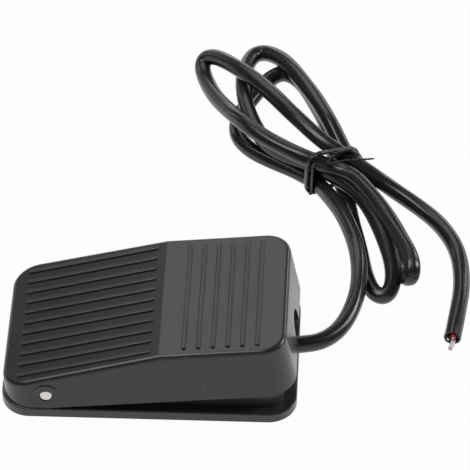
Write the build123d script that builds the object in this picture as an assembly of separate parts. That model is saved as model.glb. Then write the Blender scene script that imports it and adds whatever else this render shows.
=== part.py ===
"""Foot switch: a hinged pedal cover over a moulded base that holds a snap-action switch.

Millimetres, +Z up, +X towards the end that the cord leaves by, origin under the middle of
the base on the surface that its feet stand on. The pedal is drawn as it lies when it is
pressed right down, and is then swung up about its hinge pin to where its spring holds it.
"""
import math
import os

from build123d import *

# Gaps between neighbouring pieces
CLEARANCE = 0.3           # between pieces that move past each other
SLIP_FIT = 0.15           # between pieces that are slid together and stay
OUTLET_FIT = 0.6          # radial, base wall round the cord
PIN_CLEARANCE = 0.08      # radial, pedal bore on the hinge pin
OVERRUN = 1.0             # how far joined shapes reach into each other, and cuts run past

# Base moulding, from -END_X at the hinge end to END_X at the cord end
BASE_LENGTH = 102.0
END_X = BASE_LENGTH / 2
BASE_WIDTH = 62.0
CORNER_RADIUS = 10.0
RIM_HEIGHT = 3.9          # outer rim, over the base's own underside
FLOOR_THICKNESS = 2.2
UPSTAND_INSET = 4.3       # outer face of the inner wall, in from the outline
UPSTAND_WALL = 1.8
UPSTAND_LOW = 11.0        # top of the inner wall at the hinge end
UPSTAND_HIGH = 15.6       # and at the cord end
RIM_EDGE = 0.5            # rounding of the rim's edges

# Rubber feet in recesses of the base's underside
FOOT_RADIUS = 5.0
FOOT_THICKNESS = 1.6
FOOT_PROUD = 0.6
FOOT_INSET = 12.0         # foot centre, in from the outline

# Hinge
PIVOT_INSET = 16.1        # in from the base's hinge end
PIVOT_X = PIVOT_INSET - END_X
PIVOT_Z = 10.4
PIN_RADIUS = 2.25
PIN_CHAMFER = 0.3
HINGE_BOSS_RADIUS = 4.2
HINGE_BOSS_LENGTH = 6.0
REST_ANGLE = 6.4          # degrees that the spring holds the pedal up by

# Pedal cover, as it lies when pressed down
PEDAL_INSET = 0.3         # skirt, in from the base's outline
PEDAL_TOP = 24.8
PEDAL_WALL = 2.2
DRAFT = 4.2               # degrees, side walls
LEVEL_TREAD = 45.2        # length of the level tread, to the base's cord end
HINGE_TOP = 17.62         # top of the sloping tread over the hinge pin
TOP_EDGE = 1.7
HINGE_PAD_RADIUS = 4.6
HINGE_PAD_HEIGHT = 1.0
NOTCH_HALF_WIDTH = 6.0
NOTCH_SPRING_LINE = 7.6   # height where the notch's arch starts
STIFFENER_Y = 14.0
STIFFENER_THICKNESS = 1.6
STIFFENER_DEPTH = 2.4
STIFFENER_REACH = 27.8    # under the sloping tread, from where the treads meet
STIFFENER_GAP = 9.0       # from the base's cord end

# Grip ribs on the two treads
RIB_WIDTH = 1.6
RIB_HEIGHT = 0.7
RIB_ROUNDING = 0.55
CROSS_RIBS = 6
CROSS_RIB_START = 8.5     # first cross rib, from where the treads meet
CROSS_RIB_PITCH = 5.05
CROSS_RIB_LENGTH = 52.0
LONG_RIBS = 11
LONG_RIB_PITCH = 5.1
LONG_RIB_INSET = 6.6      # their outer ends, in from the base's hinge end
LONG_RIB_GAP = 2.9        # their inner ends, from where the treads meet

# Snap-action switch: a standard body, 27.8 x 15.9 x 10.3
SWITCH_LENGTH = 27.8
SWITCH_HEIGHT = 15.9
SWITCH_THICKNESS = 10.3
SWITCH_INSET = 28.7       # its end by the spring, in from the base's cord end
SWITCH_EDGE = 0.8
SWITCH_WALL = 1.3
SWITCH_COVER = 1.5
SWITCH_HOLE_X = 22.2      # spacing of the two fixing holes
SWITCH_HOLE_Z = 10.3
SWITCH_HOLE_EDGE = 2.8
SWITCH_HOLE_WALL = 0.6
PLUNGER_INSET = 9.5       # these insets are from the switch's end by the spring
PLUNGER_LENGTH = 4.0
PLUNGER_WIDTH = 2.2
PLUNGER_EDGE = 0.9
PLUNGER_DEPTH = 1.2       # foot of the plunger below the blade
SHOULDER_REACH = 0.8      # plunger's shoulder, past its stem
SHOULDER_HEIGHT = 1.2
LEVER_INSET = 2.5
LEVER_RISE = 1.4          # lever's pivot line over the switch body
LEVER_LENGTH = 21.8
LEVER_CORNER = 1.2
LEVER_THICKNESS = 0.4
LEVER_WIDTH = 4.8
LEVER_PIN_RADIUS = 0.5
EAR_THICKNESS = 0.8
EAR_MARGIN = 0.8          # of the fork's ears round the lever's pin
TAB_WIDTH = 4.8
TAB_THICKNESS = 0.5
TAB_LENGTH = 7.5
TAB_CORNER = 0.9
TAB_HOLE_RADIUS = 0.9
TAB_HOLE_INSET = 3.2
TAB_HEIGHTS = {"common": 2.5, "open": 6.4, "closed": 10.6}
POST_THICKNESS = 1.0      # of the common tab, where it carries the blade
CONTACT_INSET = 4.9       # from the switch's end by the tabs
CONTACT_RADIUS = 1.3
CONTACT_HEIGHT = 0.8
CONTACT_LAND = 2.0        # tab past the middle of its contact
BLADE_CONTACT_HEIGHT = 0.4
BLADE_THICKNESS = 0.3
BLADE_WIDTH = 5.6
BLADE_INSET = 5.7
BLADE_WINDOW_FRONT = 3.5  # opening round the plunger's foot, towards the contacts
BLADE_WINDOW_BACK = 0.7
BLADE_HEIGHT = 8.75       # blade's underside over the switch's own underside

# Switch bracket and its screws
BRACKET_THICKNESS = 3.0
BRACKET_EDGE = 1.6        # above the upper screw's hole
BRACKET_CORNER = 2.5
BRACKET_MARGIN = 3.6
M3_RADIUS = 1.5
HEAD_RADIUS = 2.75
HEAD_HEIGHT = 1.9
SCREW_POINT = 0.5
RECESS_SPAN = 3.3
RECESS_WIDTH = 0.7
RECESS_DEPTH = 1.0

# Return spring
SPRING_GAP = 6.6          # its middle, from the switch's end
SPRING_RADIUS = 4.2
SPRING_WIRE = 1.0
SPRING_TURNS = 6.5
SPRING_SEAT = 0.05        # under its first coil
SPRING_CUP_WALL = 0.9
SPRING_CUP_HEIGHT = 2.6
SPRING_POST_RADIUS = 2.2
SPRING_POST_LENGTH = 4.0

# Pedal boss that presses the switch lever
PRESSER_GAP = 3.6         # from the lever's tip
PRESSER_RADIUS = 2.4
PRESSER_BOTTOM = 20.8     # when the pedal is down

# Cord, its clamp and its three cores
CORD_DIAMETER = 6.2
CORD_Z = 8.6
CORD_ENTRY = 0.7          # end of its jacket, past the clamp
CLAMP_INSET = 9.3         # in from the base's cord end
CLAMP_LENGTH = 5.0
CLAMP_SCREW_Y = 8.0
CLAMP_BOSS_RADIUS = 3.0
CLAMP_BOSS_TOP = 8.2
CLAMP_LUG = 2.6
LUG_CORNER = 1.5
CLAMP_BACK = 1.8
CLAMP_SCREW_LENGTH = 7.0
CORE_RADIUS = 0.9
CORE_CIRCLE = 1.4
CORE_STUB = 3.2
CONNECTOR_LENGTH = 6.4
CONNECTOR_WALL = 0.45
BARREL_LENGTH = 4.6
BARREL_WALL = 0.5
CRIMP_NECK = 0.8          # connector between its barrel's bore and the tab
WIRE_INSERT = 0.6         # wire's end inside the barrel
WIRE_HEIGHTS = {"red": 10.6, "white": 7.8, "dark": 5.0}
WIRE_TABS = {"red": "closed", "white": "open", "dark": "common"}

# Route of the wires: back from the jacket's end and aside, then back from the base's cord
# end and aside, then by shares of the room behind the connectors and aside
WIRE_SPREAD = [(1.5, 0.35), (2.6, 1.9), (4.1, 4.7)]
WIRE_RUN = [(19.0, 8.4), (26.0, 11.6), (41.0, 12.4), (57.0, 12.0)]
WIRE_RETURN = [(0.066, 10.8), (0.585, 7.6), (0.691, 2.4), (0.399, 0.0)]
WIRE_CLOSING = 0.3        # share of its own place that a wire gives up at each point

# Route of the lead from the clamp to the tie, with x from the base's cord end
LEAD_ROUTE = [
    (-5.3, 0.05, 8.65), (1.9, 1.2, 8.4), (9.1, 5.3, 7.5), (15.3, 13.2, 7.2), (19.3, 24.6, 8.3),
    (20.9, 38.6, 9.4), (19.6, 52.8, 9.5), (15.9, 66.2, 7.9), (10.8, 78.4, 5.0), (4.6, 88.6, 3.4),
]

# Route of the tail from the tie to its cut end, with x from the base's cord end
TAIL_ROUTE = [
    (14.0, 97.0, 9.0), (22.6, 92.2, 7.2), (32.0, 87.6, 4.6), (41.4, 79.6, 3.4), (50.0, 68.6, 3.15),
    (55.3, 54.4, 3.2), (56.6, 37.6, 3.2), (55.0, 22.4, 3.15), (53.0, 9.2, 3.15),
]

# Outer shape of the tied loops: centre x from the base's cord end, y, width and height
HANK_SECTIONS = [
    (34.8, 31.4, 11.0, 11.0), (32.4, 42.0, 24.0, 16.2), (26.4, 62.0, 29.0, 15.6),
    (18.6, 80.0, 24.0, 13.0), (11.0, 94.0, 21.5, 12.4), (-1.0, 108.0, 30.0, 13.0),
    (-14.4, 128.0, 47.0, 13.4), (-24.0, 146.0, 42.0, 12.8), (-28.4, 156.0, 24.0, 8.6),
]
HANK_DIRECTION = 117.0    # degrees, along the hank in plan
HANK_LIFT = 0.05
TIE_X = 11.0              # from the base's cord end
TIE_Y = 94.0
TIE_WIDTH = 21.5
TIE_HEIGHT = 12.4
TIE_BAND = 3.2
TIE_THICKNESS = 0.9
TIE_ROOT = 1.5            # start of its free end, inside the band
TIE_END_RISE = 1.6        # its free end, over the bundle's middle and past it
TIE_END_X = 12.0
TIE_END_Y = 7.5
TIE_END_RADIUS = 0.45

# Heights and places that follow from the sizes above
UNDERSIDE = FOOT_PROUD
RIM_TOP = UNDERSIDE + RIM_HEIGHT
FLOOR_TOP = UNDERSIDE + FLOOR_THICKNESS
SKIRT_BOTTOM = RIM_TOP + CLEARANCE
PEDAL_LENGTH = BASE_LENGTH - 2 * PEDAL_INSET
PEDAL_WIDTH = BASE_WIDTH - 2 * PEDAL_INSET
UPSTAND_X = BASE_LENGTH / 2 - UPSTAND_INSET
UPSTAND_Y = BASE_WIDTH / 2 - UPSTAND_INSET
JUNCTION_X = END_X - LEVEL_TREAD
SLOPE_RATE = (PEDAL_TOP - HINGE_TOP) / (JUNCTION_X - PIVOT_X)
SLOPE = math.degrees(math.atan(SLOPE_RATE))
STIFFENER_START = JUNCTION_X - STIFFENER_REACH
STIFFENER_END = END_X - STIFFENER_GAP
LONG_RIB_START = LONG_RIB_INSET - END_X
LONG_RIB_END = JUNCTION_X - LONG_RIB_GAP
SWITCH_END_X = END_X - SWITCH_INSET
SWITCH_START_X = SWITCH_END_X - SWITCH_LENGTH
SWITCH_MIDDLE_X = SWITCH_END_X - SWITCH_LENGTH / 2
SWITCH_TOP = FLOOR_TOP + SWITCH_HEIGHT
SWITCH_BACK_Y = SWITCH_THICKNESS / 2
PLUNGER_X = SWITCH_END_X - PLUNGER_INSET
LEVER_PIVOT_X = SWITCH_END_X - LEVER_INSET
LEVER_PIVOT_Z = SWITCH_TOP + LEVER_RISE
PRESSER_X = LEVER_PIVOT_X - LEVER_LENGTH + PRESSER_GAP
CONTACT_X = SWITCH_START_X + CONTACT_INSET
BLADE_END_X = SWITCH_END_X - BLADE_INSET
SPRING_X = SWITCH_END_X + SPRING_GAP
CORD_RADIUS = CORD_DIAMETER / 2
CLAMP_X = END_X - CLAMP_INSET
CORD_START_X = CLAMP_X - CLAMP_LENGTH / 2 - CORD_ENTRY
LEAD_POINTS = [(CORD_START_X, 0.0, CORD_Z)] + [(END_X + x, y, z) for x, y, z in LEAD_ROUTE]
TAIL_POINTS = [(END_X + x, y, z) for x, y, z in TAIL_ROUTE]


def rounded_block(length, width, radius, bottom, top):
    """Upright block with rounded corners in plan, standing from bottom to top."""
    return extrude(Pos(0, 0, bottom) * RectangleRounded(length, width, radius), top - bottom)


def swing_up(shape):
    """Turn a pedal shape from pressed down to its resting place about the hinge pin."""
    pin = Pos(PIVOT_X, 0, PIVOT_Z)
    return pin * Rot(0, -REST_ANGLE, 0) * pin.inverse() * shape


def cylinder_along_y(radius, length, x, y, z):
    """Cylinder along Y with its middle at the given point."""
    return Pos(x, y, z) * Rot(90, 0, 0) * Cylinder(radius, length)


def box_between(low, high):
    """Box between two opposite corners."""
    size = [b - a for a, b in zip(low, high)]
    middle = [(a + b) / 2 for a, b in zip(low, high)]
    return Pos(*middle) * Box(*size)


def upright_prism(points, half_width):
    """Extrude a closed outline in the XZ plane to half_width each side of the middle."""
    outline = make_face(Polyline(*[(x, 0, z) for x, z in points], close=True))
    return extrude(outline, half_width, dir=(0, 1, 0), both=True)


def lever_rest_angle():
    """Degrees of the free lever, which lies a clearance under the presser of the raised pedal."""
    turn = math.radians(REST_ANGLE)
    reach = PRESSER_X - PIVOT_X
    rise = PRESSER_BOTTOM + PRESSER_RADIUS - PIVOT_Z
    ball_x = PIVOT_X + reach * math.cos(turn) - rise * math.sin(turn)
    ball_z = PIVOT_Z + reach * math.sin(turn) + rise * math.cos(turn)
    across = LEVER_PIVOT_X - ball_x
    up = ball_z - LEVER_PIVOT_Z
    stand_off = PRESSER_RADIUS + CLEARANCE + LEVER_THICKNESS
    return math.degrees(math.atan2(up, across) - math.asin(stand_off / math.hypot(across, up)))


def plunger_top():
    """Top of the free plunger: its edge towards the lever's pivot is a clearance under the lever."""
    reach = LEVER_PIVOT_X - PLUNGER_X - PLUNGER_LENGTH / 2 + PLUNGER_EDGE
    return LEVER_PIVOT_Z + reach * math.tan(math.radians(lever_rest_angle())) - CLEARANCE


def foot_places():
    """Centres of the four feet in plan."""
    x = BASE_LENGTH / 2 - FOOT_INSET
    y = BASE_WIDTH / 2 - FOOT_INSET
    return {"front_left": (-x, -y), "front_right": (x, -y), "rear_left": (-x, y), "rear_right": (x, y)}


def switch_screw_places():
    """Centres of the two holes in the switch body that the fixing screws use."""
    low = (SWITCH_MIDDLE_X + SWITCH_HOLE_X / 2, FLOOR_TOP + SWITCH_HOLE_EDGE)
    high = (SWITCH_MIDDLE_X - SWITCH_HOLE_X / 2, FLOOR_TOP + SWITCH_HOLE_EDGE + SWITCH_HOLE_Z)
    return [low, high]


def base_shell():
    """Tray with a low rim, an inner wall that the skirt hides, and the seats of what it holds."""
    plate = rounded_block(BASE_LENGTH, BASE_WIDTH, CORNER_RADIUS, UNDERSIDE, RIM_TOP)
    rim_edges = plate.edges().group_by(Axis.Z)[0] + plate.edges().group_by(Axis.Z)[-1]
    plate = fillet(rim_edges, RIM_EDGE)

    inner_radius = CORNER_RADIUS - UPSTAND_INSET
    wall = rounded_block(2 * UPSTAND_X, 2 * UPSTAND_Y, inner_radius, FLOOR_TOP - OVERRUN, UPSTAND_HIGH)
    room = rounded_block(
        2 * (UPSTAND_X - UPSTAND_WALL), 2 * (UPSTAND_Y - UPSTAND_WALL),
        inner_radius - UPSTAND_WALL, FLOOR_TOP, UPSTAND_HIGH + OVERRUN,
    )
    sloping_top = upright_prism(
        [(-UPSTAND_X - OVERRUN, UNDERSIDE), (UPSTAND_X + OVERRUN, UNDERSIDE),
         (UPSTAND_X + OVERRUN, UPSTAND_HIGH), (-UPSTAND_X - OVERRUN, UPSTAND_LOW)],
        BASE_WIDTH,
    )
    shell = plate + (wall & sloping_top) - room
    shell += hinge_bosses() + switch_bracket() + spring_cup() + cord_saddle()
    shell -= cylinder_along_y(PIN_RADIUS, BASE_WIDTH, PIVOT_X, 0, PIVOT_Z)
    hole_length = 4 * UPSTAND_WALL
    shell -= Pos(UPSTAND_X, 0, CORD_Z) * Rot(0, 90, 0) * Cylinder(CORD_RADIUS + OUTLET_FIT, hole_length)
    recess = FOOT_THICKNESS - FOOT_PROUD
    for x, y in foot_places().values():
        shell -= Pos(x, y, UNDERSIDE + recess / 2) * Cylinder(FOOT_RADIUS + SLIP_FIT, recess)
    return shell


def hinge_bosses():
    """Two bosses on the floor, inside the inner wall, that the hinge pin is pressed into."""
    bosses = []
    for side in (-1, 1):
        middle_y = side * (UPSTAND_Y - HINGE_BOSS_LENGTH / 2)
        barrel = cylinder_along_y(HINGE_BOSS_RADIUS, HINGE_BOSS_LENGTH, PIVOT_X, middle_y, PIVOT_Z)
        web = box_between(
            (PIVOT_X - HINGE_BOSS_RADIUS, middle_y - HINGE_BOSS_LENGTH / 2, FLOOR_TOP - OVERRUN),
            (PIVOT_X + HINGE_BOSS_RADIUS, middle_y + HINGE_BOSS_LENGTH / 2, PIVOT_Z),
        )
        bosses.append(barrel + web)
    return bosses[0] + bosses[1]


def switch_bracket():
    """Upright plate behind the switch, with a pilot hole for each of its two screws."""
    plate = box_between(
        (SWITCH_MIDDLE_X - SWITCH_HOLE_X / 2 - BRACKET_MARGIN, SWITCH_BACK_Y, FLOOR_TOP - OVERRUN),
        (SWITCH_MIDDLE_X + SWITCH_HOLE_X / 2 + BRACKET_MARGIN, SWITCH_BACK_Y + BRACKET_THICKNESS,
         FLOOR_TOP + SWITCH_HOLE_EDGE + SWITCH_HOLE_Z + M3_RADIUS + BRACKET_EDGE),
    )
    top_corners = plate.edges().filter_by(Axis.Y).group_by(Axis.Z)[-1]
    plate = fillet(top_corners, BRACKET_CORNER)
    for x, z in switch_screw_places():
        plate -= cylinder_along_y(M3_RADIUS, 4 * BRACKET_THICKNESS, x, SWITCH_BACK_Y, z)
    return plate


def spring_cup():
    """Low ring on the floor that keeps the foot of the return spring in place."""
    inner = SPRING_RADIUS + SPRING_WIRE / 2 + SLIP_FIT
    height = SPRING_CUP_HEIGHT + OVERRUN
    ring = Cylinder(inner + SPRING_CUP_WALL, height) - Cylinder(inner, height)
    return Pos(SPRING_X, 0, FLOOR_TOP - OVERRUN + height / 2) * ring


def cord_saddle():
    """Grooved block under the cord, between the two bosses that take the clamp's screws."""
    saddle = box_between(
        (CLAMP_X - CLAMP_LENGTH / 2, -CLAMP_SCREW_Y, FLOOR_TOP - OVERRUN),
        (CLAMP_X + CLAMP_LENGTH / 2, CLAMP_SCREW_Y, CLAMP_BOSS_TOP),
    )
    for side in (-1, 1):
        height = CLAMP_BOSS_TOP - FLOOR_TOP + OVERRUN
        boss = Cylinder(CLAMP_BOSS_RADIUS, height)
        saddle += Pos(CLAMP_X, side * CLAMP_SCREW_Y, CLAMP_BOSS_TOP - height / 2) * boss
    saddle -= Pos(CLAMP_X, 0, CORD_Z) * Rot(0, 90, 0) * Cylinder(CORD_RADIUS + SLIP_FIT, 3 * CLAMP_LENGTH)
    for side in (-1, 1):
        pilot = Cylinder(M3_RADIUS, 2 * (CLAMP_SCREW_LENGTH - CLAMP_LUG))
        saddle -= Pos(CLAMP_X, side * CLAMP_SCREW_Y, CLAMP_BOSS_TOP) * pilot
    return saddle


def foot():
    """Rubber foot with a rounded tread edge, standing on z = 0."""
    disc = Pos(0, 0, FOOT_THICKNESS / 2) * Cylinder(FOOT_RADIUS, FOOT_THICKNESS)
    return fillet(disc.edges().group_by(Axis.Z)[0], FOOT_PROUD / 2)


def pivot_pin():
    """Plain steel pin, its ends level with the pedal's side walls."""
    wall_lean = (PIVOT_Z - SKIRT_BOTTOM) * math.tan(math.radians(DRAFT))
    length = PEDAL_WIDTH - 2 * wall_lean
    pin = cylinder_along_y(PIN_RADIUS, length, PIVOT_X, 0, PIVOT_Z)
    return chamfer(pin.edges().filter_by(GeomType.CIRCLE), PIN_CHAMFER)


def pedal_block(inset, top):
    """Drafted block under the level and the sloping tread, inset all round, with the given top."""
    outline = RectangleRounded(PEDAL_LENGTH - 2 * inset, PEDAL_WIDTH - 2 * inset, CORNER_RADIUS - inset)
    block = extrude(Pos(0, 0, SKIRT_BOTTOM) * outline, PEDAL_TOP, taper=DRAFT)
    reach = BASE_LENGTH
    under_treads = upright_prism(
        [(-reach, -reach), (reach, -reach), (reach, top), (JUNCTION_X, top),
         (-reach, top - (JUNCTION_X + reach) * SLOPE_RATE)],
        BASE_WIDTH,
    )
    return block & under_treads


def tread_edges(block):
    """Edges round the two treads, without the line where the treads meet."""
    treads = [face for face in block.faces() if face.normal_at().Z > 0.9]
    rim = []
    for face in treads:
        for edge in face.edges():
            middle = edge.position_at(0.5)
            on_junction = abs(middle.X - JUNCTION_X) < 0.01 and abs(middle.Y) < 1
            if not on_junction:
                rim.append(edge)
    return rim


def rib(length):
    """Grip rib with round ends and a rounded back, lying along X on z = 0."""
    sunk = RIB_HEIGHT
    bar = extrude(Pos(0, 0, -sunk) * SlotOverall(length, RIB_WIDTH), RIB_HEIGHT + sunk)
    return fillet(bar.edges().group_by(Axis.Z)[-1], RIB_ROUNDING)


def grip_ribs():
    """The ribs of both treads, across the level one and along the sloping one."""
    ribs = []
    for i in range(CROSS_RIBS):
        x = JUNCTION_X + CROSS_RIB_START + i * CROSS_RIB_PITCH
        place = Pos(x, 0, PEDAL_TOP) * Rot(0, 0, 90)
        ribs.append(place * rib(CROSS_RIB_LENGTH))
    middle_x = (LONG_RIB_START + LONG_RIB_END) / 2
    length = (LONG_RIB_END - LONG_RIB_START) / math.cos(math.radians(SLOPE))
    middle_z = PEDAL_TOP - (JUNCTION_X - middle_x) * SLOPE_RATE
    for i in range(LONG_RIBS):
        y = (i - (LONG_RIBS - 1) / 2) * LONG_RIB_PITCH
        ribs.append(Pos(middle_x, y, middle_z) * Rot(0, -SLOPE, 0) * rib(length))
    return ribs


def skirt_relief():
    """Wedge cut from the skirt behind the hinge, so that it meets the rim when the pedal is up."""
    lean = math.tan(math.radians(REST_ANGLE))
    run = BASE_LENGTH
    return upright_prism(
        [(PIVOT_X, SKIRT_BOTTOM - OVERRUN), (PIVOT_X, SKIRT_BOTTOM),
         (PIVOT_X - run, SKIRT_BOTTOM + run * lean), (PIVOT_X - run, SKIRT_BOTTOM - OVERRUN)],
        BASE_WIDTH,
    )


def cord_notch():
    """Arched notch in the end wall that the cord passes through."""
    x = PEDAL_LENGTH / 2
    depth = 4 * PEDAL_WALL
    arch = Pos(x, 0, NOTCH_SPRING_LINE) * Rot(0, 90, 0) * Cylinder(NOTCH_HALF_WIDTH, depth)
    legs = box_between(
        (x - depth / 2, -NOTCH_HALF_WIDTH, SKIRT_BOTTOM - OVERRUN),
        (x + depth / 2, NOTCH_HALF_WIDTH, NOTCH_SPRING_LINE),
    )
    return arch + legs


def pedal_inside():
    """What stands on the cover's inner side: hinge pads, stiffeners, presser and spring post."""
    under = PEDAL_TOP - PEDAL_WALL
    parts = []
    wall_lean = (PIVOT_Z - SKIRT_BOTTOM) * math.tan(math.radians(DRAFT))
    inner_face = PEDAL_WIDTH / 2 - PEDAL_WALL - wall_lean
    for side in (-1, 1):
        pad_length = PEDAL_WALL + HINGE_PAD_HEIGHT
        middle_y = side * (inner_face - HINGE_PAD_HEIGHT + pad_length / 2)
        parts.append(cylinder_along_y(HINGE_PAD_RADIUS, pad_length, PIVOT_X, middle_y, PIVOT_Z))
    for side in (-1, 1):
        web = upright_prism(
            [(STIFFENER_START, under - (JUNCTION_X - STIFFENER_START) * SLOPE_RATE - STIFFENER_DEPTH),
             (JUNCTION_X, under - STIFFENER_DEPTH), (STIFFENER_END, under - STIFFENER_DEPTH),
             (STIFFENER_END, under + PEDAL_WALL / 2), (JUNCTION_X, under + PEDAL_WALL / 2),
             (STIFFENER_START, under + PEDAL_WALL / 2 - (JUNCTION_X - STIFFENER_START) * SLOPE_RATE)],
            STIFFENER_THICKNESS / 2,
        )
        parts.append(Pos(0, side * STIFFENER_Y, 0) * web)
    ball_centre = PRESSER_BOTTOM + PRESSER_RADIUS
    presser = Pos(PRESSER_X, 0, ball_centre) * Sphere(PRESSER_RADIUS)
    cut_top = PEDAL_TOP - (JUNCTION_X - PRESSER_X) * SLOPE_RATE - PEDAL_WALL / 2
    room = 2 * PRESSER_RADIUS
    presser &= box_between(
        (PRESSER_X - room, -room, PRESSER_BOTTOM - room), (PRESSER_X + room, room, cut_top))
    parts.append(presser)
    post_x = SPRING_X + (PEDAL_TOP - PEDAL_WALL - PIVOT_Z) * math.sin(math.radians(REST_ANGLE))
    post_height = SPRING_POST_LENGTH + PEDAL_WALL / 2
    post = Pos(post_x, 0, under - SPRING_POST_LENGTH + post_height / 2)
    parts.append(post * Cylinder(SPRING_POST_RADIUS, post_height))
    return parts


def pedal_cover():
    """Hollow ribbed cover, open below, drafted, with a notch for the cord and two hinge bores."""
    outer = pedal_block(0, PEDAL_TOP)
    outer = fillet(tread_edges(outer), TOP_EDGE)
    hollow = pedal_block(PEDAL_WALL, PEDAL_TOP - PEDAL_WALL)
    hollow_foot = Pos(0, 0, SKIRT_BOTTOM - OVERRUN) * RectangleRounded(
        PEDAL_LENGTH - 2 * PEDAL_WALL, PEDAL_WIDTH - 2 * PEDAL_WALL, CORNER_RADIUS - PEDAL_WALL)
    cover = outer - hollow - extrude(hollow_foot, OVERRUN + CLEARANCE)
    for part in pedal_inside():
        cover += part
    for bar in grip_ribs():
        cover += bar
    cover -= skirt_relief()
    cover -= cord_notch()
    cover -= cylinder_along_y(PIN_RADIUS + PIN_CLEARANCE, BASE_WIDTH, PIVOT_X, 0, PIVOT_Z)
    return swing_up(cover)


def switch_case():
    """Switch body: a tray that is open to its cover, with slots for the tabs and the plunger."""
    front = -SWITCH_THICKNESS / 2 + SWITCH_COVER
    case = box_between((SWITCH_START_X, front, FLOOR_TOP), (SWITCH_END_X, SWITCH_BACK_Y, SWITCH_TOP))
    case = fillet(case.edges().filter_by(Axis.Y), SWITCH_EDGE)
    room = box_between(
        (SWITCH_START_X + SWITCH_WALL, front, FLOOR_TOP + SWITCH_WALL),
        (SWITCH_END_X - SWITCH_WALL, SWITCH_BACK_Y - SWITCH_WALL, SWITCH_TOP - SWITCH_WALL),
    )
    for x, z in switch_screw_places():
        room -= cylinder_along_y(M3_RADIUS + SWITCH_HOLE_WALL, 2 * SWITCH_THICKNESS, x, 0, z)
    case -= room
    case -= plunger_slot() + tab_slots() + switch_screw_holes()
    return case


def switch_cover():
    """Flat cover of the switch body, level with its outline."""
    front = -SWITCH_THICKNESS / 2
    cover = box_between(
        (SWITCH_START_X, front, FLOOR_TOP), (SWITCH_END_X, front + SWITCH_COVER, SWITCH_TOP))
    cover = fillet(cover.edges().filter_by(Axis.Y), SWITCH_EDGE)
    return cover - switch_screw_holes()


def plunger_slot():
    """Guide of the plunger through the top wall of the switch body."""
    return Pos(PLUNGER_X, 0, SWITCH_TOP) * Box(
        PLUNGER_LENGTH + 2 * SLIP_FIT, PLUNGER_WIDTH + 2 * SLIP_FIT, 3 * SWITCH_WALL)


def tab_slots():
    """Slots in the end wall that the three tabs pass through."""
    slots = []
    length = SWITCH_WALL + 2 * OVERRUN
    middle_x = SWITCH_START_X + SWITCH_WALL / 2
    for height in TAB_HEIGHTS.values():
        slots.append(Pos(middle_x, 0, FLOOR_TOP + height) * Box(length, TAB_WIDTH, TAB_THICKNESS))
    return slots[0] + slots[1] + slots[2]


def switch_screw_holes():
    """Clearance holes for the two fixing screws, right through the switch."""
    holes = []
    for x, z in switch_screw_places():
        holes.append(cylinder_along_y(M3_RADIUS + SLIP_FIT / 2, 2 * SWITCH_THICKNESS, x, 0, z))
    return holes[0] + holes[1]


def switch_plunger():
    """Rounded plunger with a wider foot inside the switch body."""
    bottom = FLOOR_TOP + BLADE_HEIGHT - PLUNGER_DEPTH
    stem = box_between(
        (PLUNGER_X - PLUNGER_LENGTH / 2, -PLUNGER_WIDTH / 2, bottom),
        (PLUNGER_X + PLUNGER_LENGTH / 2, PLUNGER_WIDTH / 2, plunger_top()),
    )
    stem = fillet(stem.edges().filter_by(Axis.Y).group_by(Axis.Z)[-1], PLUNGER_EDGE)
    shoulder_top = SWITCH_TOP - SWITCH_WALL - CLEARANCE
    half_length = PLUNGER_LENGTH / 2 + SHOULDER_REACH
    shoulder = box_between(
        (PLUNGER_X - half_length, -PLUNGER_WIDTH / 2, shoulder_top - SHOULDER_HEIGHT),
        (PLUNGER_X + half_length, PLUNGER_WIDTH / 2, shoulder_top),
    )
    return stem + shoulder


def switch_lever():
    """Spring-steel lever with a rolled end round its pivot."""
    strip = box_between((-LEVER_LENGTH, -LEVER_WIDTH / 2, 0), (0, LEVER_WIDTH / 2, LEVER_THICKNESS))
    strip = fillet(strip.edges().filter_by(Axis.Z).group_by(Axis.X)[0], LEVER_CORNER)
    roll = Rot(90, 0, 0) * Cylinder(LEVER_PIN_RADIUS + LEVER_THICKNESS, LEVER_WIDTH)
    bore = Rot(90, 0, 0) * Cylinder(LEVER_PIN_RADIUS + PIN_CLEARANCE, LEVER_WIDTH)
    lever = strip + roll - bore
    return Pos(LEVER_PIVOT_X, 0, LEVER_PIVOT_Z) * Rot(0, lever_rest_angle(), 0) * lever


def lever_bracket():
    """Steel fork on top of the switch body that carries the lever's pivot pin."""
    ear_y = LEVER_WIDTH / 2 + CLEARANCE
    ear_radius = LEVER_PIN_RADIUS + EAR_MARGIN
    pin_length = 2 * (ear_y + EAR_THICKNESS)
    fork = cylinder_along_y(LEVER_PIN_RADIUS, pin_length, LEVER_PIVOT_X, 0, LEVER_PIVOT_Z)
    for side in (-1, 1):
        middle_y = side * (ear_y + EAR_THICKNESS / 2)
        fork += cylinder_along_y(ear_radius, EAR_THICKNESS, LEVER_PIVOT_X, middle_y, LEVER_PIVOT_Z)
        fork += box_between(
            (LEVER_PIVOT_X - ear_radius, middle_y - EAR_THICKNESS / 2, SWITCH_TOP),
            (LEVER_PIVOT_X + ear_radius, middle_y + EAR_THICKNESS / 2, LEVER_PIVOT_Z),
        )
    return fork


def tab(height, reach):
    """Flat connector tab through the end wall, from its rounded outer end to reach inside."""
    outer_x = SWITCH_START_X - TAB_LENGTH
    z = FLOOR_TOP + height
    strip = box_between(
        (outer_x, -TAB_WIDTH / 2, z - TAB_THICKNESS / 2), (reach, TAB_WIDTH / 2, z + TAB_THICKNESS / 2))
    outer_corners = strip.edges().filter_by(Axis.Z).group_by(Axis.X)[0]
    strip = chamfer(outer_corners, TAB_CORNER)
    return strip - Pos(outer_x + TAB_HOLE_INSET, 0, z) * Cylinder(TAB_HOLE_RADIUS, 4 * TAB_THICKNESS)


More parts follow.
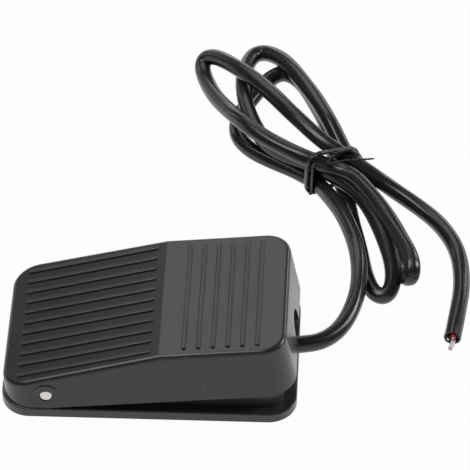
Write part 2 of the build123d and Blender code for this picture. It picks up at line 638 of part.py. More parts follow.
def terminal_common():
    """Common tab: it runs under the contacts and stands up at the blade's fixed end."""
    z = FLOOR_TOP + TAB_HEIGHTS["common"]
    post = box_between(
        (BLADE_END_X - POST_THICKNESS, -TAB_WIDTH / 2, z),
        (BLADE_END_X, TAB_WIDTH / 2, FLOOR_TOP + BLADE_HEIGHT - CLEARANCE),
    )
    return tab(TAB_HEIGHTS["common"], BLADE_END_X) + post


def terminal_open():
    """Normally open tab with its contact facing up."""
    z = FLOOR_TOP + TAB_HEIGHTS["open"]
    contact = Pos(CONTACT_X, 0, z + CONTACT_HEIGHT / 2) * Cylinder(CONTACT_RADIUS, CONTACT_HEIGHT)
    return tab(TAB_HEIGHTS["open"], CONTACT_X + CONTACT_LAND) + contact


def terminal_closed():
    """Normally closed tab with its contact facing down."""
    z = FLOOR_TOP + TAB_HEIGHTS["closed"]
    contact = Pos(CONTACT_X, 0, z - CONTACT_HEIGHT / 2) * Cylinder(CONTACT_RADIUS, CONTACT_HEIGHT)
    return tab(TAB_HEIGHTS["closed"], CONTACT_X + CONTACT_LAND) + contact


def contact_blade():
    """Moving contact: a springy frame that leaves room for the plunger's foot."""
    z = FLOOR_TOP + BLADE_HEIGHT
    blade = box_between(
        (CONTACT_X - CONTACT_RADIUS, -BLADE_WIDTH / 2, z),
        (BLADE_END_X, BLADE_WIDTH / 2, z + BLADE_THICKNESS),
    )
    window = box_between(
        (PLUNGER_X - PLUNGER_LENGTH / 2 - BLADE_WINDOW_FRONT, -PLUNGER_WIDTH / 2 - CLEARANCE, z - OVERRUN),
        (PLUNGER_X + PLUNGER_LENGTH / 2 + BLADE_WINDOW_BACK, PLUNGER_WIDTH / 2 + CLEARANCE, z + OVERRUN),
    )
    button = Cylinder(CONTACT_RADIUS, BLADE_CONTACT_HEIGHT)
    upper = Pos(CONTACT_X, 0, z + BLADE_THICKNESS + BLADE_CONTACT_HEIGHT / 2) * button
    lower = Pos(CONTACT_X, 0, z - BLADE_CONTACT_HEIGHT / 2) * button
    return blade - window + upper + lower


def screw(length):
    """Pan-head screw pointing down from z = 0, with a cross recess."""
    head = Pos(0, 0, HEAD_HEIGHT / 2) * Cylinder(HEAD_RADIUS, HEAD_HEIGHT)
    head = fillet(head.edges().group_by(Axis.Z)[-1], HEAD_HEIGHT / 2)
    shank = Pos(0, 0, -length / 2) * Cylinder(M3_RADIUS, length)
    shank = chamfer(shank.edges().group_by(Axis.Z)[0], SCREW_POINT)
    slot = Box(RECESS_SPAN, RECESS_WIDTH, 2 * RECESS_DEPTH)
    recess = Pos(0, 0, HEAD_HEIGHT) * (slot + Rot(0, 0, 90) * slot)
    return head + shank - recess


def switch_screws():
    """Two screws through the switch into its bracket."""
    length = SWITCH_THICKNESS + BRACKET_THICKNESS
    screws = []
    for x, z in switch_screw_places():
        screws.append(Pos(x, -SWITCH_THICKNESS / 2, z) * Rot(90, 0, 0) * screw(length))
    return Compound(children=screws)


def cord_clamp():
    """Bar that holds the cord down in its saddle, with a lug for each screw."""
    arch = Pos(CLAMP_X, 0, CORD_Z) * Rot(0, 90, 0) * Cylinder(
        CORD_RADIUS + SLIP_FIT + CLAMP_BACK, CLAMP_LENGTH)
    lugs = box_between(
        (CLAMP_X - CLAMP_LENGTH / 2, -CLAMP_SCREW_Y - CLAMP_BOSS_RADIUS, CLAMP_BOSS_TOP),
        (CLAMP_X + CLAMP_LENGTH / 2, CLAMP_SCREW_Y + CLAMP_BOSS_RADIUS, CLAMP_BOSS_TOP + CLAMP_LUG),
    )
    lugs = fillet(lugs.edges().filter_by(Axis.Z), LUG_CORNER)
    upper_half = box_between(
        (CLAMP_X - CLAMP_LENGTH, -BASE_WIDTH / 2, CLAMP_BOSS_TOP),
        (CLAMP_X + CLAMP_LENGTH, BASE_WIDTH / 2, UPSTAND_HIGH + CORD_DIAMETER),
    )
    bar = (arch + lugs) & upper_half
    bar -= Pos(CLAMP_X, 0, CORD_Z) * Rot(0, 90, 0) * Cylinder(CORD_RADIUS + SLIP_FIT, 3 * CLAMP_LENGTH)
    hole = Cylinder(M3_RADIUS + SLIP_FIT / 2, 4 * CLAMP_LUG)
    for side in (-1, 1):
        bar -= Pos(CLAMP_X, side * CLAMP_SCREW_Y, CLAMP_BOSS_TOP) * hole
    return bar


def clamp_screws():
    """Two screws through the clamp's lugs into the bosses beside the saddle."""
    screws = []
    for side in (-1, 1):
        top = CLAMP_BOSS_TOP + CLAMP_LUG
        screws.append(Pos(CLAMP_X, side * CLAMP_SCREW_Y, top) * screw(CLAMP_SCREW_LENGTH))
    return Compound(children=screws)


def return_spring():
    """Open coil spring between the floor and the cover."""
    reach = SPRING_X - PIVOT_X
    under_rest = PIVOT_Z + (PEDAL_TOP - PEDAL_WALL - PIVOT_Z) * math.cos(math.radians(REST_ANGLE))
    under_rest += reach * math.tan(math.radians(REST_ANGLE))
    lowest_seat = under_rest - (SPRING_RADIUS + SPRING_WIRE) * math.tan(math.radians(REST_ANGLE))
    bottom = FLOOR_TOP + SPRING_WIRE / 2 + SPRING_SEAT
    top = lowest_seat - SPRING_WIRE / 2 - CLEARANCE
    pitch = (top - bottom) / SPRING_TURNS
    path = Helix(pitch=pitch, height=top - bottom, radius=SPRING_RADIUS)
    start = path.position_at(0)
    section = Plane(origin=start, z_dir=path.tangent_at(0)) * Circle(SPRING_WIRE / 2)
    return Pos(SPRING_X, 0, bottom) * sweep(section, path=path, is_frenet=True)


def route_radii(points):
    """Radius at each inner point of a route: 0.45 of the shorter run over tan of half the turn."""
    radii = []
    for before, here, after in zip(points, points[1:], points[2:]):
        first = Vector(*here) - Vector(*before)
        second = Vector(*after) - Vector(*here)
        half_turn = math.radians(first.get_angle(second) / 2)
        radii.append(0.45 * min(first.length, second.length) / math.tan(half_turn))
    return radii


def tube(name, points, radius):
    """Round tube along straight runs joined by tangent arcs, with its radii and volume printed."""
    radii = route_radii(points)
    path = FilletPolyline(*points, radius=radii)
    section = Plane(origin=path.position_at(0), z_dir=path.tangent_at(0)) * Circle(radius)
    solid = sweep(section, path=path)
    expected = math.pi * radius ** 2 * path.length
    print(name, "length", round(path.length, 1), "radii", [round(r, 1) for r in radii],
          "volume over section times length", round(solid.volume / expected, 4))
    return solid


def cord_hank():
    """Outer shape of the tied loops, lofted through round-ended sections along the hank."""
    sections = []
    along = Vector(math.cos(math.radians(HANK_DIRECTION)), math.sin(math.radians(HANK_DIRECTION)), 0)
    across = Vector(along.Y, -along.X, 0)
    for x, y, width, height in HANK_SECTIONS:
        plane = Plane(origin=(END_X + x, y, height / 2 + HANK_LIFT), x_dir=across, z_dir=along)
        sections.append(plane * Ellipse(width / 2, height / 2))
    return loft(sections)


def cord_tie():
    """Tie band round the hank's waist with one free end."""
    along = Vector(math.cos(math.radians(HANK_DIRECTION)), math.sin(math.radians(HANK_DIRECTION)), 0)
    across = Vector(along.Y, -along.X, 0)
    origin = Vector(END_X + TIE_X, TIE_Y, TIE_HEIGHT / 2 + TIE_THICKNESS)
    plane = Plane(origin=origin - along * (TIE_BAND / 2), x_dir=across, z_dir=along)
    outside = plane * Ellipse(TIE_WIDTH / 2 + TIE_THICKNESS, TIE_HEIGHT / 2 + TIE_THICKNESS)
    inside = plane * Ellipse(TIE_WIDTH / 2, TIE_HEIGHT / 2)
    band = extrude(outside, TIE_BAND) - extrude(inside, TIE_BAND)
    root = origin + across * (TIE_WIDTH / 2 - TIE_ROOT) + Vector(0, 0, TIE_HEIGHT / 4)
    end = origin + Vector(TIE_END_X, TIE_END_Y, TIE_END_RISE)
    stem = Plane(origin=root, z_dir=end - root) * Circle(TIE_END_RADIUS)
    return band + extrude(stem, (end - root).length)


def core_places():
    """Offsets of the three cores from the cord's middle line, across it and up."""
    places = {}
    for name, angle in (("red", 90), ("white", -30), ("dark", 210)):
        turn = math.radians(angle)
        places[name] = (CORE_CIRCLE * math.cos(turn), CORE_CIRCLE * math.sin(turn))
    return places


def cut_core(name):
    """Stub of one core, standing out of the tail's cut end."""
    end = Vector(*TAIL_POINTS[-1])
    along = (end - Vector(*TAIL_POINTS[-2])).normalized()
    across = Vector(-along.Y, along.X, 0).normalized()
    side, up = core_places()[name]
    plane = Plane(origin=end + across * side + Vector(0, 0, up), z_dir=along)
    return extrude(plane * Circle(CORE_RADIUS), CORE_STUB)


def inner_wire(name):
    """One core from the jacket's end, round the spring and the switch, to its connector."""
    side, up = core_places()[name]
    run_z = WIRE_HEIGHTS[name]
    tab_z = FLOOR_TOP + TAB_HEIGHTS[WIRE_TABS[name]]
    barrel_end = SWITCH_START_X - TAB_LENGTH - BARREL_LENGTH
    room = barrel_end - PIVOT_X - PIN_RADIUS
    points = [(CORD_START_X - CLEARANCE, side, CORD_Z + up)]
    for i, (back, aside) in enumerate(WIRE_SPREAD):
        own_share = 1 - i * WIRE_CLOSING
        z = run_z if i else (CORD_Z + up + run_z) / 2
        points.append((CORD_START_X - back, aside + own_share * side, z))
    for back, aside in WIRE_RUN:
        points.append((END_X - back, aside, run_z))
    for i, (share, aside) in enumerate(WIRE_RETURN):
        z = tab_z if i else (run_z + tab_z) / 2
        points.append((barrel_end - share * room, aside, z))
    points.append((barrel_end + WIRE_INSERT, 0.0, tab_z))
    return tube("wire " + name, points, CORE_RADIUS)


def connector(tab_height):
    """Push-on connector over a tab, with a barrel crimped round its core."""
    z = FLOOR_TOP + tab_height
    tab_end = SWITCH_START_X - TAB_LENGTH
    sleeve_end = tab_end + CONNECTOR_LENGTH
    slot_y = TAB_WIDTH / 2 + SLIP_FIT
    slot_z = TAB_THICKNESS / 2 + SLIP_FIT
    slot = box_between((tab_end - SLIP_FIT, -slot_y, z - slot_z), (sleeve_end + OVERRUN, slot_y, z + slot_z))
    sleeve = box_between(
        (tab_end - CRIMP_NECK, -slot_y - CONNECTOR_WALL, z - slot_z - CONNECTOR_WALL),
        (sleeve_end, slot_y + CONNECTOR_WALL, z + slot_z + CONNECTOR_WALL),
    )
    bore_radius = CORE_RADIUS + SLIP_FIT
    bore_length = BARREL_LENGTH - CRIMP_NECK
    barrel = Pos(tab_end - BARREL_LENGTH / 2, 0, z) * Rot(0, 90, 0) * Cylinder(
        bore_radius + BARREL_WALL, BARREL_LENGTH)
    bore = Pos(tab_end - BARREL_LENGTH + bore_length / 2, 0, z) * Rot(0, 90, 0) * Cylinder(
        bore_radius, bore_length)
    return sleeve + barrel - slot - bore


def build_nodes():
    """Build every node of the foot switch, by name."""
    nodes = {
        "base_shell": base_shell(),
        "pivot_pin": pivot_pin(),
        "pedal_cover": pedal_cover(),
        "return_spring": return_spring(),
        "switch_case": switch_case(),
        "switch_cover": switch_cover(),
        "switch_plunger": switch_plunger(),
        "switch_lever": switch_lever(),
        "lever_bracket": lever_bracket(),
        "contact_blade": contact_blade(),
        "terminal_common": terminal_common(),
        "terminal_open": terminal_open(),
        "terminal_closed": terminal_closed(),
        "switch_screws": switch_screws(),
        "cord_clamp": cord_clamp(),
        "clamp_screws": clamp_screws(),
        "cord_lead": tube("cord lead", LEAD_POINTS, CORD_RADIUS),
        "cord_hank": cord_hank(),
        "cord_tail": tube("cord tail", TAIL_POINTS, CORD_RADIUS),
        "cord_tie": cord_tie(),
    }
    for name, (x, y) in foot_places().items():
        nodes["foot_" + name] = Pos(x, y, 0) * foot()
    for name in core_places():
        nodes["cut_core_" + name] = cut_core(name)
    for name, tab_name in WIRE_TABS.items():
        nodes["wire_" + name] = inner_wire(name)
        nodes["connector_" + tab_name] = connector(TAB_HEIGHTS[tab_name])
    return nodes


os.makedirs("parts", exist_ok=True)
for node_name, shape in build_nodes().items():
    shape.label = node_name
    export_step(shape, os.path.join("parts", node_name + ".step"))
    print(node_name, "solids", len(shape.solids()), "volume", round(shape.volume, 1))
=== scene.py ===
"""Looks of a foot switch: ribbed pedal, low base, tied cord and the switch under the pedal.

Metres, +Z up, +X towards the end that the cord leaves by, the same frame as the solids.
Sizes that are given in millimetres end in _MM and are turned to metres where they are used.
"""

import logging
import math
from dataclasses import dataclass
from enum import Enum
from typing import Callable, Sequence

import bpy
import numpy as np
from mathutils import Matrix, Vector


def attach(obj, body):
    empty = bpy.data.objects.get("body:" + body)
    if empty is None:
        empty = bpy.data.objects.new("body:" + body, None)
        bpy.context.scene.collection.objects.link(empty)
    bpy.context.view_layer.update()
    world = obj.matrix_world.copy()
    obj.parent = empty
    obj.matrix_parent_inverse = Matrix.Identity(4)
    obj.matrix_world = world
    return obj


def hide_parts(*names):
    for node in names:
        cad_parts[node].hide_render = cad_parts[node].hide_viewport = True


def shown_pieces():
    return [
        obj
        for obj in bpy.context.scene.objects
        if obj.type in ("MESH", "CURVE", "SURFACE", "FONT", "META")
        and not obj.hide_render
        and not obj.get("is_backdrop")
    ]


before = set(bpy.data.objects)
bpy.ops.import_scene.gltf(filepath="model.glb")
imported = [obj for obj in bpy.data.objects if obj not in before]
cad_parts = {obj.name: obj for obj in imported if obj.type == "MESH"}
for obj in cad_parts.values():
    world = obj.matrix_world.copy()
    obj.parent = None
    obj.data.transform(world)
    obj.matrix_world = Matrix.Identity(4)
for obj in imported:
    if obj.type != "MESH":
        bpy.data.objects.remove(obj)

LOG = logging.getLogger("foot_switch")
MM = 0.001
CORD_DIAMETER_MM = 6.2

Point = tuple[float, float, float]
Colour = tuple[float, float, float]

# Route of the cord, from the clamp inside the base to the tie
LEAD_MM: Sequence[Point] = (
    (38.5, 0.0, 8.6), (47.5, -0.6, 8.4), (52.0, 0.0, 8.2), (59.3, 3.1, 7.0), (65.7, 10.2, 6.6),
    (70.2, 21.2, 8.2), (71.5, 33.3, 9.8), (70.2, 48.4, 10.0), (65.9, 62.8, 9.6), (60.8, 75.3, 7.4),
)

# Lowest loop on the far side of the tie
FAR_LOOP_LOW_MM: Sequence[Point] = (
    (55.2, 88.5, 3.1), (46.6, 95.0, 3.1), (36.5, 100.9, 3.1), (29.1, 106.1, 3.1),
    (24.1, 113.7, 3.1), (24.8, 125.4, 3.1), (29.8, 135.2, 3.1), (34.9, 145.4, 3.1),
    (40.7, 150.2, 3.1), (47.3, 145.0, 3.1), (52.9, 133.2, 3.1), (57.1, 123.2, 3.1),
    (60.2, 110.0, 3.1),
)

# Narrow loop on the near side of the tie, flat on the floor
NEAR_LOOP_LOW_MM: Sequence[Point] = (
    (62.2, 95.3, 3.1), (65.6, 82.5, 3.1), (68.1, 68.2, 3.1), (70.9, 54.7, 3.1), (73.0, 42.3, 3.1),
    (75.4, 33.7, 3.1), (78.1, 30.3, 3.1), (81.3, 30.1, 3.6), (83.3, 34.3, 4.8), (83.2, 42.1, 6.6),
    (80.5, 53.0, 8.2), (76.6, 64.5, 8.8), (71.7, 75.0, 9.2), (65.2, 83.3, 9.0),
)

# Middle loop on the far side, over the lowest one
FAR_LOOP_MIDDLE_MM: Sequence[Point] = (
    (57.7, 89.0, 9.0), (49.6, 94.0, 8.8), (41.4, 98.3, 8.6), (34.5, 104.2, 9.0),
    (29.5, 115.7, 9.4), (26.6, 127.7, 9.6), (25.6, 141.0, 7.4), (27.5, 154.8, 5.4),
    (32.1, 159.0, 5.0), (38.3, 153.8, 7.4), (43.5, 146.4, 8.8), (48.5, 136.9, 9.4),
    (54.4, 125.5, 9.4), (59.4, 114.4, 9.0), (63.4, 106.5, 5.4),
)

# Steep loop on the near side, standing on its own lower run
NEAR_LOOP_HIGH_MM: Sequence[Point] = (
    (67.1, 98.7, 3.1), (72.1, 88.6, 3.1), (77.0, 75.9, 3.1), (81.9, 62.9, 3.1), (85.3, 53.1, 3.1),
    (86.4, 45.2, 3.3), (87.4, 38.3, 5.0), (89.4, 33.0, 9.5), (90.2, 35.1, 12.6),
    (89.2, 40.9, 13.4), (85.8, 49.3, 13.4), (80.8, 61.1, 13.0), (75.1, 71.4, 13.4),
    (68.8, 81.5, 13.0),
)

# Highest loop on the far side, lying on the other two
FAR_LOOP_HIGH_MM: Sequence[Point] = (
    (61.8, 86.5, 12.4), (53.0, 88.1, 14.6), (43.9, 93.0, 15.0), (35.1, 99.0, 15.4),
    (27.1, 107.2, 15.2), (19.8, 120.5, 10.6), (13.6, 134.9, 6.4), (10.3, 146.5, 4.4),
    (10.0, 152.3, 5.6), (13.1, 151.9, 8.6), (18.9, 145.9, 11.6), (26.9, 135.8, 14.6),
    (36.2, 124.9, 15.2), (45.0, 112.8, 15.2), (54.8, 100.6, 14.4),
)

# From the tie to the cut end
TAIL_MM: Sequence[Point] = (
    (64.9, 94.2, 11.4), (73.1, 90.1, 7.8), (82.5, 84.9, 4.4), (92.3, 76.6, 3.3),
    (101.0, 66.9, 3.1), (106.8, 53.9, 3.1), (108.0, 36.9, 3.1), (106.4, 22.7, 3.1),
    (104.4, 10.2, 3.1),
)

# Twisted ends of the tie, and the end that was left long
TIE_TWIST_MM: Sequence[Point] = (
    (57.8, 84.7, 15.6), (60.6, 87.5, 17.6), (64.2, 90.4, 18.0), (67.8, 93.3, 16.0),
)
TIE_END_MM: Sequence[Point] = (
    (58.5, 84.6, 16.2), (63.2, 84.2, 18.2), (69.7, 86.3, 17.2), (75.5, 88.3, 16.0),
)


class Signal:
    """A shader socket on which arithmetic can be written."""

    def __init__(self, graph: "ShaderGraph", socket: bpy.types.NodeSocket) -> None:
        """Wrap a socket of the graph."""
        self.graph = graph
        self.socket = socket

    def _combine(self, operation: str, *terms: "Signal | float") -> "Signal":
        """Join terms through one Math node.

        Args:
            operation: the Math node's operation.
            terms: its inputs in order.

        Returns:
            The node's result.
        """
        node = self.graph.node("ShaderNodeMath", {"operation": operation}, dict(enumerate(terms)))
        return Signal(self.graph, node.outputs[0])

    def __add__(self, other: "Signal | float") -> "Signal":
        """Sum."""
        return self._combine("ADD", self, other)

    def __sub__(self, other: "Signal | float") -> "Signal":
        """Difference."""
        return self._combine("SUBTRACT", self, other)

    def __rsub__(self, other: float) -> "Signal":
        """Difference from a number."""
        return self._combine("SUBTRACT", other, self)

    def __mul__(self, other: "Signal | float") -> "Signal":
        """Product."""
        return self._combine("MULTIPLY", self, other)

    __radd__ = __add__
    __rmul__ = __mul__

    def below(self, limit: float) -> "Signal":
        """One where the signal is under the limit, and zero elsewhere."""
        return self._combine("LESS_THAN", self, limit)

    def sine(self) -> "Signal":
        """Sine of the signal, which is in radians."""
        return self._combine("SINE", self)


class ShaderGraph:
    """The nodes of one material."""

    def __init__(self, name: str) -> None:
        """Start an empty material of that name."""
        self.material = bpy.data.materials.new(name)
        self.material.use_nodes = True
        self.tree = self.material.node_tree
        self.tree.nodes.clear()

    def node(self, kind: str, settings: dict | None = None, sockets: dict | None = None) -> bpy.types.Node:
        """Add one node.

        Args:
            kind: the node's type.
            settings: its properties, set first.
            sockets: values or signals of its inputs, by name or number.

        Returns:
            The new node.
        """
        made = self.tree.nodes.new(kind)
        for name, value in (settings or {}).items():
            setattr(made, name, value)
        for key, value in (sockets or {}).items():
            if isinstance(value, Signal):
                self.tree.links.new(value.socket, made.inputs[key])
            else:
                made.inputs[key].default_value = value
        return made

    def place(self, centre: Point = (0.0, 0.0, 0.0), stretch: Point = (1.0, 1.0, 1.0)) -> Signal:
        """Object coordinates, moved and then stretched.

        Args:
            centre: place that becomes the origin, in metres.
            stretch: factor for each axis.

        Returns:
            The coordinates.
        """
        source = Signal(self, self.node("ShaderNodeTexCoord").outputs["Object"])
        moved = self.vector("SUBTRACT", source, centre)
        return self.vector("MULTIPLY", moved, stretch)

    def vector(self, operation: str, *terms: "Signal | Point") -> Signal:
        """Join vectors through one Vector Math node.

        Args:
            operation: the node's operation.
            terms: its inputs in order.

        Returns:
            The node's vector.
        """
        made = self.node("ShaderNodeVectorMath", {"operation": operation}, dict(enumerate(terms)))
        return Signal(self, made.outputs[0])

    def noise(self, place: Signal, size: float, detail: float = 3.0, rough: float = 0.5) -> Signal:
        """Soft noise.

        Args:
            place: coordinates that it is read at.
            size: width of its blotches in metres.
            detail: how many finer layers it has.
            rough: how strong the finer layers are.

        Returns:
            The noise, from 0 to 1.
        """
        made = self.node(
            "ShaderNodeTexNoise", None,
            {"Vector": place, "Scale": 1.0 / size, "Detail": detail, "Roughness": rough})
        return Signal(self, made.outputs[0])

    def cells(self, place: Signal, size: float) -> Signal:
        """Distance from the middle of scattered cells about size metres across."""
        made = self.node("ShaderNodeTexVoronoi", None, {"Vector": place, "Scale": 1.0 / size})
        return Signal(self, made.outputs["Distance"])

    def length_of(self, vector: Signal) -> Signal:
        """Length of a vector."""
        made = self.node("ShaderNodeVectorMath", {"operation": "LENGTH"}, {0: vector})
        return Signal(self, made.outputs["Value"])

    def wave(self, value: Signal, period: float) -> Signal:
        """Sine of a value with the given period, from 0 to 1."""
        turned = value * (2.0 * math.pi / period)
        return turned.sine() * 0.5 + 0.5

    def blend(self, factor: Signal, first: "Colour | Signal", second: Colour) -> Signal:
        """Mix two colours.

        Args:
            factor: share of the second colour.
            first: colour where the factor is 0.
            second: colour where the factor is 1.

        Returns:
            The mixed colour.
        """
        start = first if isinstance(first, Signal) else first + (1.0,)
        made = self.node(
            "ShaderNodeMix", {"data_type": "RGBA"}, {"Factor": factor, 6: start, 7: second + (1.0,)})
        return Signal(self, made.outputs[2])

    def bump(self, height: Signal, depth: float, strength: float = 1.0) -> Signal:
        """Normal of a height field.

        Args:
            height: the field, from 0 to 1.
            depth: its depth in metres.
            strength: how strongly it is felt.

        Returns:
            The normal.
        """
        made = self.node(
            "ShaderNodeBump", None, {"Height": height, "Distance": depth, "Strength": strength})
        return Signal(self, made.outputs[0])

    def surface(self, **sockets: "Signal | float | tuple") -> bpy.types.Material:
        """Finish the material with a Principled shader.

        Args:
            sockets: inputs of the shader, with spaces written as underscores.

        Returns:
            The finished material.
        """
        named = {key.replace("_", " "): value for key, value in sockets.items()}
        shader = self.node("ShaderNodeBsdfPrincipled", None, named)
        output = self.node("ShaderNodeOutputMaterial")
        self.tree.links.new(shader.outputs[0], output.inputs[0])
        return self.material


@dataclass(frozen=True)
class MouldedPlastic:
    """Moulded black plastic with a fine satin grain and faint flow clouds."""

    name: str
    colour: Colour
    cloud_colour: Colour
    roughness: float
    roughness_spread: float = 0.08
    cloud_size: float = 0.024
    smear_size: float = 0.009
    grain: float = 0.00032
    grain_depth: float = 0.000006
    dust: float = 0.0
    dust_colour: Colour = (0.5, 0.5, 0.5)
    dust_spacing: float = 0.011
    dust_speck: float = 0.016
    coat: float = 0.22
    coat_roughness: float = 0.16

    def make(self) -> bpy.types.Material:
        """Build the material."""
        graph = ShaderGraph(self.name)
        place = graph.place()
        clouds = graph.noise(place, self.cloud_size, 4.0, 0.6)
        grain = graph.noise(place, self.grain, 2.0)
        colour = graph.blend(clouds, self.colour, self.cloud_colour)
        if self.dust > 0.0:
            speck = graph.cells(place, self.dust_spacing).below(self.dust_speck) * self.dust
            colour = graph.blend(speck, colour, self.dust_colour)
        smear = graph.noise(place, self.smear_size, 3.0)
        rough = self.roughness + self.roughness_spread * (smear - 0.5)
        return graph.surface(
            Base_Color=colour, Roughness=rough, Normal=graph.bump(grain, self.grain_depth), IOR=1.5,
            Coat_Weight=self.coat, Coat_Roughness=self.coat_roughness, Coat_IOR=1.35)


@dataclass(frozen=True)
class BareMetal:
    """Plain metal with fine lines along one axis and a few dull blotches."""

    name: str
    colour: Colour
    dull_colour: Colour
    roughness: float
    line_stretch: Point = (1.0, 0.05, 1.0)
    line_size: float = 0.0004
    line_depth: float = 0.000004
    line_spread: float = 0.10
    blotch_size: float = 0.0022
    blotch_spread: float = 0.16

    def make(self) -> bpy.types.Material:
        """Build the material."""
        graph = ShaderGraph(self.name)
        lines = graph.noise(graph.place(stretch=self.line_stretch), self.line_size, 2.0)
        blotches = graph.noise(graph.place(), self.blotch_size, 3.0)
        return graph.surface(
            Base_Color=graph.blend(blotches, self.colour, self.dull_colour), Metallic=1.0,
            Roughness=(self.roughness + self.blotch_spread * (blotches - 0.5)
                       + self.line_spread * (lines - 0.5)),
            Normal=graph.bump(lines, self.line_depth))


@dataclass(frozen=True)
class TurnedSteel:
    """Steel pin with the rings of its turning on its cut ends."""

    name: str
    axis_point: Point
    colour: Colour = (0.80, 0.77, 0.73)
    dull_colour: Colour = (0.58, 0.55, 0.52)
    ring_pitch: float = 0.00022
    ring_depth: float = 0.000006
    roughness: float = 0.34
    blotch_size: float = 0.0012
    blotch_spread: float = 0.2

    def make(self) -> bpy.types.Material:
        """Build the material: the ring height is a sine of the distance from the pin's axis."""
        graph = ShaderGraph(self.name)
        radius = graph.length_of(graph.place(self.axis_point, (1.0, 0.0, 1.0)))
        rings = graph.wave(radius, self.ring_pitch)
        blotches = graph.noise(graph.place(), self.blotch_size, 4.0, 0.65)
        return graph.surface(
            Base_Color=graph.blend(blotches, self.colour, self.dull_colour), Metallic=1.0,
            Roughness=self.roughness + self.blotch_spread * (blotches - 0.5),
            Normal=graph.bump(rings, self.ring_depth, 0.5))


@dataclass(frozen=True)
class FlexibleJacket:
    """Soft black cord jacket with a satin skin."""

    name: str
    colour: Colour = (0.012, 0.012, 0.0125)
    scuffed_colour: Colour = (0.022, 0.022, 0.0225)
    roughness: float = 0.26
    wave_spread: float = 0.14
    skin_spread: float = 0.05
    skin_size: float = 0.0006
    skin_share: float = 0.10
    wave_size: float = 0.006
    scuff_size: float = 0.013
    depth: float = 0.00003

    def make(self) -> bpy.types.Material:
        """Build the material."""
        graph = ShaderGraph(self.name)
        place = graph.place()
        skin = graph.noise(place, self.skin_size, 2.0)
        waves = graph.noise(place, self.wave_size, 3.0)
        scuffs = graph.noise(place, self.scuff_size, 5.0, 0.7)
        return graph.surface(
            Base_Color=graph.blend(scuffs, self.colour, self.scuffed_colour),
            Roughness=(self.roughness + self.wave_spread * (waves - 0.5)
                       + self.skin_spread * (skin - 0.5)),
            Normal=graph.bump(skin * self.skin_share + waves, self.depth, 0.5), IOR=1.52)


@dataclass(frozen=True)
class SoftRubber:
    """Matt rubber with a pebbled skin."""

    name: str
    colour: Colour = (0.020, 0.020, 0.020)
    dusty_colour: Colour = (0.045, 0.044, 0.042)
    roughness: float = 0.78
    roughness_spread: float = 0.12
    pebble_size: float = 0.0005
    pebble_depth: float = 0.00003
    dust_size: float = 0.004

    def make(self) -> bpy.types.Material:
        """Build the material."""
        graph = ShaderGraph(self.name)
        place = graph.place()
        pebbles = graph.cells(place, self.pebble_size)
        dust = graph.noise(place, self.dust_size, 4.0)
        return graph.surface(
            Base_Color=graph.blend(dust, self.colour, self.dusty_colour),
            Roughness=self.roughness + self.roughness_spread * (dust - 0.5),
            Normal=graph.bump(pebbles, self.pebble_depth, 0.7))


@dataclass(frozen=True)
class Insulation:
    """Thin coloured plastic over a wire."""

    name: str
    colour: Colour
    shade: float = 0.72
    roughness: float = 0.38
    roughness_spread: float = 0.12
    streak_size: float = 0.0011
    streak_depth: float = 0.00003

    def make(self) -> bpy.types.Material:
        """Build the material."""
        graph = ShaderGraph(self.name)
        place = graph.place()
        streaks = graph.noise(place, self.streak_size, 3.0)
        shaded = tuple(level * self.shade for level in self.colour)
        return graph.surface(
            Base_Color=graph.blend(streaks, self.colour, shaded),
            Roughness=self.roughness + self.roughness_spread * (streaks - 0.5),
            Normal=graph.bump(streaks, self.streak_depth, 0.4))


@dataclass(frozen=True)
class CrinkledFilm:
    """Shiny plastic film drawn tight over a tie's wire, with small creases."""

    name: str
    colour: Colour = (0.010, 0.010, 0.011)
    creased_colour: Colour = (0.022, 0.022, 0.023)
    roughness: float = 0.16
    roughness_spread: float = 0.16
    crease_size: float = 0.0011
    crease_depth: float = 0.00025

    def make(self) -> bpy.types.Material:
        """Build the material."""
        graph = ShaderGraph(self.name)
        place = graph.place()
        creases = graph.noise(place, self.crease_size, 4.0, 0.7)
        return graph.surface(
            Base_Color=graph.blend(creases, self.colour, self.creased_colour),
            Roughness=self.roughness + self.roughness_spread * (creases - 0.4),
            Normal=graph.bump(creases, self.crease_depth, 0.9), IOR=1.5)


